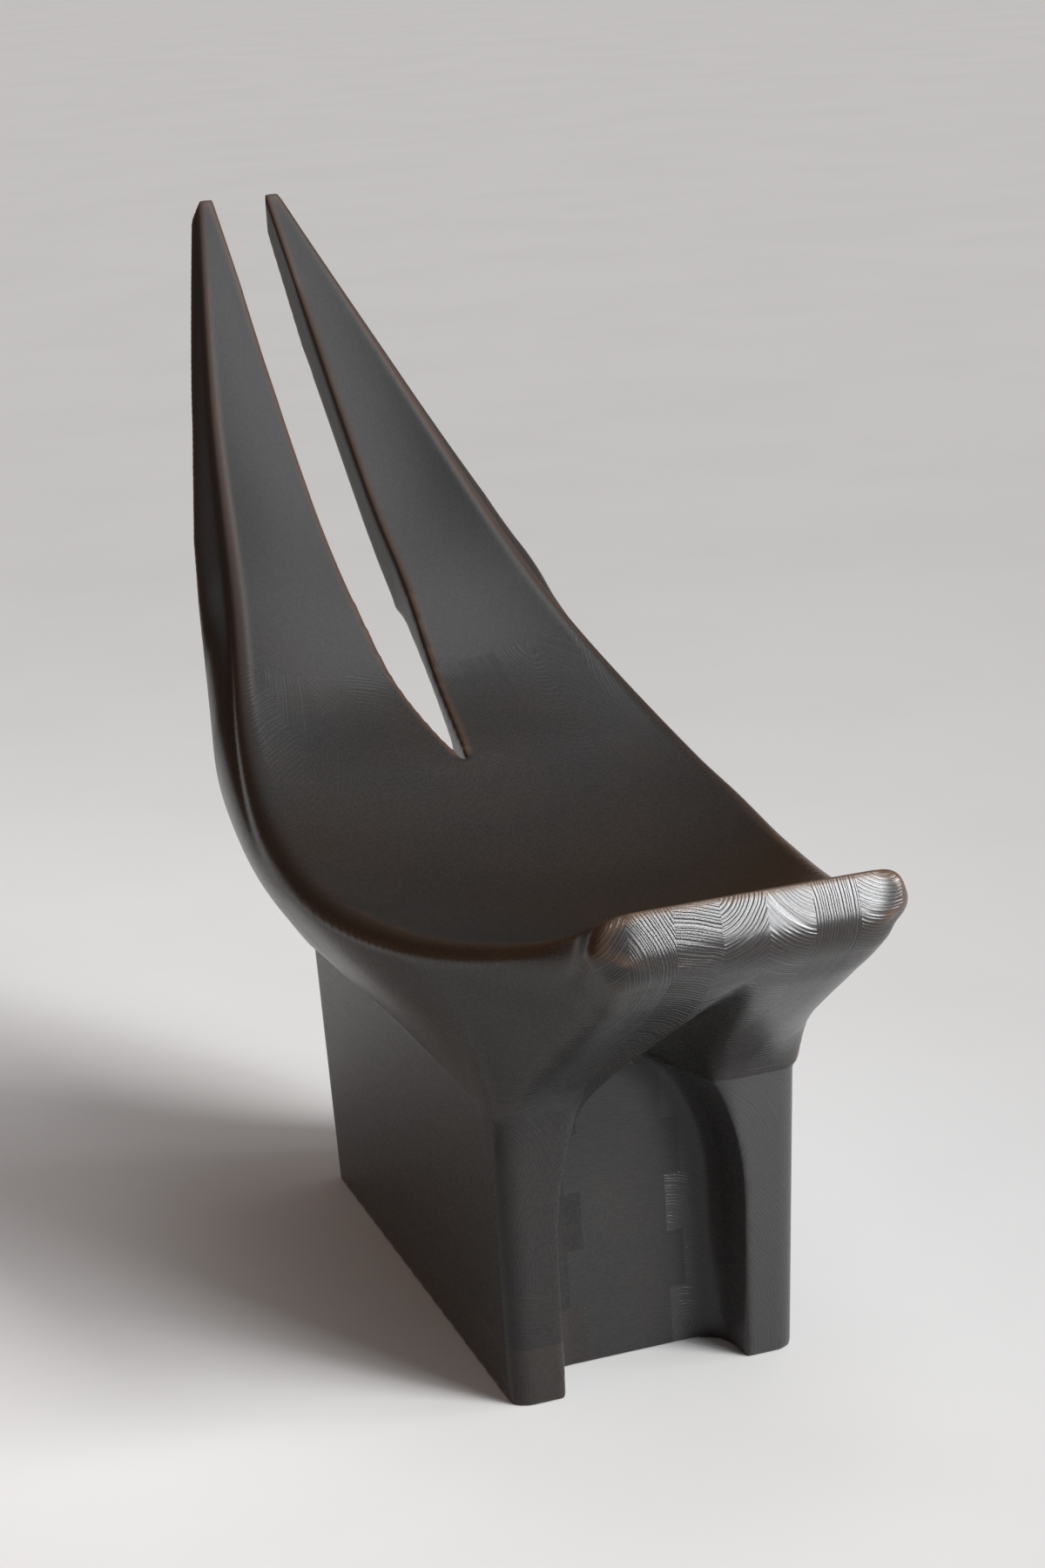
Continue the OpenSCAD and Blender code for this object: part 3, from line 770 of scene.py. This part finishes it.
# Parts the carving along its glue joints into the pieces that replace the CAD nodes
def makePieces(whole):
    shape = bmesh.new()
    shape.from_mesh(whole.data)
    shape.faces.layers.int.new("glued")
    bpy.data.objects.remove(whole)
    below, above = cutAt(shape, 2, jointZ * mm)
    front, back = cutAt(above, 1, (joints["hornY"] + shiftY) * mm)
    made = []

    def addPiece(part, name, woodName, look, slot):
        material = stainedWood("stained " + woodName, look)
        made.append((pieceFrom(part, "carved_" + name, material), name, slot))

    count = len(boardHearts)
    places = [(joints["shift"] + (i - count / 2) * joints["board"]) * mm for i in range(1, count)]
    for i, part in enumerate(cutRow(front, 0, places)):
        look = {**seatLook, "ringCentre": boardHearts[i], "spacing": boardSpacings[i]}
        name = f"seat_board_{i + 1}"
        addPiece(part, name, name, look, "seat_wood")
    for side, part in zip(hornHearts, cutRow(back, 0, [0.0])):
        look = {**hornLook, "ringCentre": hornHearts[side]}
        addPiece(part, "horn_" + side, "horn " + side, look, "horn_wood")
    layers = cutRow(below, 2, [base["layer"] * k * mm for k in range(1, base["layers"])])
    for n, layer in enumerate(layers, 1):
        half = joints["odd"] if n % 2 else joints["even"]
        for k, (side, part) in enumerate(zip(baseBoardShadeAndGrain, cutRow(layer, 0, [-half * mm, half * mm]))):
            name = f"base_layer_{n}_{side}"
            look = {**baseLook, "ringCentre": baseHearts[n][k], **baseBoardShadeAndGrain[side]}
            if (n, side) == (1, "left"):
                look.update(lowestLeft)
            addPiece(part, name, name, look, "base_wood")
    for piece, name, slot in made:
        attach(piece, "root")
        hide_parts(name)
    print("pieces made:", len(made), "faces:", sum(len(p.data.polygons) for p, _, _ in made))


def dressTenons():
    tenonWood = stainedWood("plain tenon wood", tenonLook)
    for name in ("horn_tenons", "base_tenons"):
        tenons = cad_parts[name]
        for place in tenons.material_slots:
            place.material = tenonWood
        if not tenons.material_slots:
            tenons.data.materials.append(tenonWood)


makePieces(carveChair())
dressTenons()

# Floor, in metres. It lies a hair below the chair
floorLook = {
    "colour": (0.75, 0.75, 0.75), "cloudShade": 0.97, "cloudScale": 1.6, "cloudEdge": (0.35, 0.7),
    "rough": 0.75, "span": 60.0, "squares": 24, "drop": 0.0004,
}


def addFloor(look):
    mesh = bpy.data.meshes.new("studioFloor")
    grid = bmesh.new()
    bmesh.ops.create_grid(grid, x_segments=look["squares"], y_segments=look["squares"], size=look["span"])
    grid.to_mesh(mesh)
    grid.free()
    floor = addObject("studioFloor", mesh)
    floor.location.z = -look["drop"]
    cement, tree = paint("pale cement floor")
    place = node(tree, "TexCoord")["Object"]
    cloud = node(tree, "TexNoise", {
        "Vector": place, "Scale": look["cloudScale"], "Detail": 5.0, "Roughness": 0.6})[0]
    shaded = tuple(v * look["cloudShade"] for v in look["colour"])
    colour = colourMix(tree, between(tree, cloud, *look["cloudEdge"]), look["colour"] + (1,), shaded + (1,))
    surface = node(tree, "BsdfPrincipled", {
        "Base Color": colour, "Roughness": look["rough"], "Specular IOR Level": 0.2})["BSDF"]
    node(tree, "OutputMaterial", {"Surface": surface})
    mesh.materials.append(cement)


# A warm timber wall stands to the left, out of the camera's sight, and shows only in the stain's gloss
sideWall = {
    "places": [(-1.15, -2.2), (-1.20, -0.6), (-1.32, 0.8), (-1.75, 2.6)], "height": 1.3,
    "colour": (0.15, 0.080, 0.042),
}


def addSideWall(look):
    points = [(x, y, z) for x, y in look["places"] for z in (0, look["height"])]
    faces = [(2 * i, 2 * i + 1, 2 * i + 3, 2 * i + 2) for i in range(len(look["places"]) - 1)]
    mesh = bpy.data.meshes.new("sideWall")
    mesh.from_pydata(points, [], faces)
    wall = addObject("sideWall", mesh)
    timber, tree = paint("side wall timber")
    surface = node(tree, "BsdfDiffuse", {"Color": look["colour"] + (1,)})["BSDF"]
    node(tree, "OutputMaterial", {"Surface": surface})
    mesh.materials.append(timber)
    wall.visible_camera = wall.visible_shadow = False


# Light through a window at the front right, and from above. Places and sizes in metres, spreads in degrees
windowSun = {"toward": (0.62, -0.72, 0.70), "strength": 2.75, "spread": 20, "colour": (1, 0.995, 0.98)}
lamps = {
    "windowFront": {
        "place": (1.28, -2.90, 1.02), "aim": (0, -0.64, 0.82), "size": (0.95, 0.72),
        "power": 12, "spread": 44, "colour": (0.97, 0.985, 1)},
    "windowSide": {
        "place": (2.45, -1.35, 0.95), "aim": (0.13, -0.64, 0.80), "size": (1.4, 0.7),
        "power": 6.5, "spread": 44, "colour": (0.97, 0.985, 1)},
    "skylight": {
        "place": (0.55, 0.12, 2.7), "aim": (0, 0.62, 0.7), "size": (2.2, 1.0),
        "power": 4.5, "spread": 90, "colour": (0.95, 0.975, 1)},
}


def addSun(name, look):
    data = bpy.data.lights.new(name, "SUN")
    data.energy, data.color, data.angle = look["strength"], look["colour"], math.radians(look["spread"])
    addObject(name, data).rotation_euler = Vector(look["toward"]).to_track_quat("Z", "Y").to_euler()


def addLamp(name, look):
    data = bpy.data.lights.new(name, "AREA")
    data.shape = "RECTANGLE"
    data.size, data.size_y = look["size"]
    data.energy, data.color, data.spread = look["power"], look["colour"], math.radians(look["spread"])
    lamp = addObject(name, data)
    lamp.location = look["place"]
    lamp.rotation_euler = (Vector(look["aim"]) - Vector(look["place"])).to_track_quat("-Z", "Y").to_euler()
    lamp.visible_camera = False


# Room light: pale overhead, weak from the front, and dark and warm behind and to the left
room = {
    "overhead": (0.42, 0.43, 0.45), "front": (0.12, 0.12, 0.125), "behind": (0.13, 0.072, 0.040),
    "overheadFrom": (0.58, 0.95), "frontWay": (0.6, -0.8), "frontFrom": (-0.3, 0.75),
}


def addWorld(look):
    world = bpy.data.worlds.new("studioWorld")
    scene.world = world
    world.use_nodes = True
    tree = world.node_tree
    tree.nodes.clear()
    way = node(tree, "SeparateXYZ", {0: node(tree, "TexCoord")["Generated"]})
    wayX, wayY = look["frontWay"]
    around = sums(
        tree, "ADD", sums(tree, "MULTIPLY", way["Y"], wayY), sums(tree, "MULTIPLY", way["X"], wayX))
    level = colourMix(
        tree, between(tree, around, *look["frontFrom"]), look["behind"] + (1,), look["front"] + (1,))
    sky = colourMix(tree, between(tree, way["Z"], *look["overheadFrom"]), level, look["overhead"] + (1,))
    glow = node(tree, "Background", {"Color": sky, "Strength": 1.0})["Background"]
    node(tree, "OutputWorld", {"Surface": glow})


addFloor(floorLook)
addSideWall(sideWall)
addSun("windowSun", windowSun)
for name, look in lamps.items():
    addLamp(name, look)
addWorld(room)

print("stage and light done")
